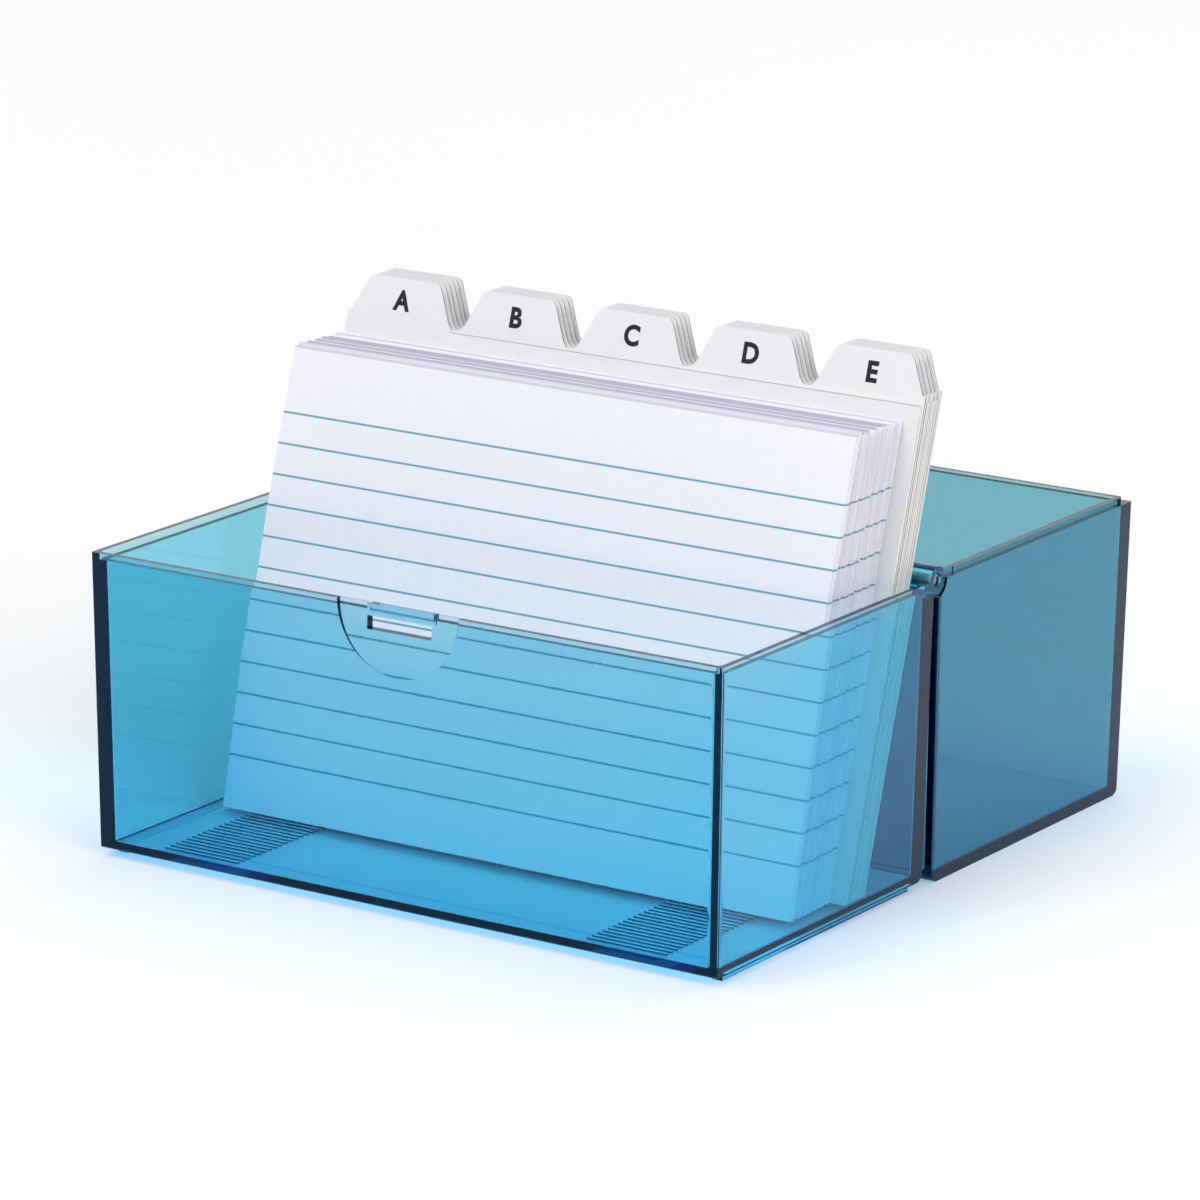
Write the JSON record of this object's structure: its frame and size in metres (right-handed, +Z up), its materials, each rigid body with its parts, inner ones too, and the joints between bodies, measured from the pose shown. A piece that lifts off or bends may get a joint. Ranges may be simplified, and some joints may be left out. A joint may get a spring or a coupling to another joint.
{
  "type": "index card drawer",
  "caption": "Translucent hinged index card box, lid folded flat behind its tray, holding ruled cards and lettered tab guides that lean back.",
  "frame": {"origin": "on the table, below the middle of the hinge line that joins the tray to the lid", "axes": "+X to the right along the hinge line, -Y to the front of the tray, +Y over the opened lid, +Z up"},
  "size_m": [0.164, 0.174, 0.1182],
  "materials": {
    "tray_plastic": "clear tinted",
    "lid_plastic": "clear tinted",
    "pin_steel": "satin",
    "guide_board": "matte",
    "card_paper": "matte"
  },
  "bodies": {
    "tray": {"base_tray": "tray_plastic", "hinge_pin_right": "pin_steel", "hinge_pin_left": "pin_steel"},
    "lid": {"lid": "lid_plastic"},
    "rear_guides": {"guide_f": "guide_board", "guide_g": "guide_board", "guide_h": "guide_board", "guide_i": "guide_board", "guide_j": "guide_board", "guide_k": "guide_board", "guide_l": "guide_board", "guide_m": "guide_board", "guide_n": "guide_board", "guide_o": "guide_board", "guide_p": "guide_board", "guide_q": "guide_board", "guide_r": "guide_board", "guide_s": "guide_board", "guide_t": "guide_board", "guide_u": "guide_board", "guide_v": "guide_board", "guide_w": "guide_board", "guide_x": "guide_board", "guide_y": "guide_board", "guide_z": "guide_board"},
    "front_guides": {"guide_a": "guide_board", "guide_b": "guide_board", "guide_c": "guide_board", "guide_d": "guide_board", "guide_e": "guide_board"},
    "rear_cards": {"index_cards_11": "card_paper", "index_cards_12": "card_paper", "index_cards_13": "card_paper", "index_cards_14": "card_paper", "index_cards_15": "card_paper", "index_cards_16": "card_paper", "index_cards_17": "card_paper", "index_cards_18": "card_paper", "index_cards_19": "card_paper", "index_cards_20": "card_paper"},
    "front_cards": {"index_cards_01": "card_paper", "index_cards_02": "card_paper", "index_cards_03": "card_paper", "index_cards_04": "card_paper", "index_cards_05": "card_paper", "index_cards_06": "card_paper", "index_cards_07": "card_paper", "index_cards_08": "card_paper", "index_cards_09": "card_paper", "index_cards_10": "card_paper"}
  },
  "joints": [
    {"name": "lid_hinge", "type": "hinge", "parent": "tray", "child": "lid", "pos_m": [0, 0, 0.06962], "axis": [1, 0, 0], "range_deg": [0, 180]},
    {"name": "pack_lean", "type": "hinge", "parent": "tray", "child": "rear_guides", "pos_m": [0, -0.04893, 0.00368], "axis": [1, 0, 0], "range_deg": [0, 8]},
    {"name": "flip_guides", "type": "hinge", "parent": "rear_guides", "child": "front_guides", "pos_m": [0, -0.04893, 0.00368], "axis": [1, 0, 0], "range_deg": [0, 8]},
    {"name": "flip_rear_cards", "type": "hinge", "parent": "front_guides", "child": "rear_cards", "pos_m": [0, -0.04893, 0.00368], "axis": [1, 0, 0], "range_deg": [0, 8]},
    {"name": "flip_front_cards", "type": "hinge", "parent": "rear_cards", "child": "front_cards", "pos_m": [0, -0.04893, 0.00368], "axis": [1, 0, 0], "range_deg": [0, 8]}
  ],
  "couplings": [
    {"joint": "pack_lean", "follows": "lid_hinge", "ratio": 0.04444}
  ]
}
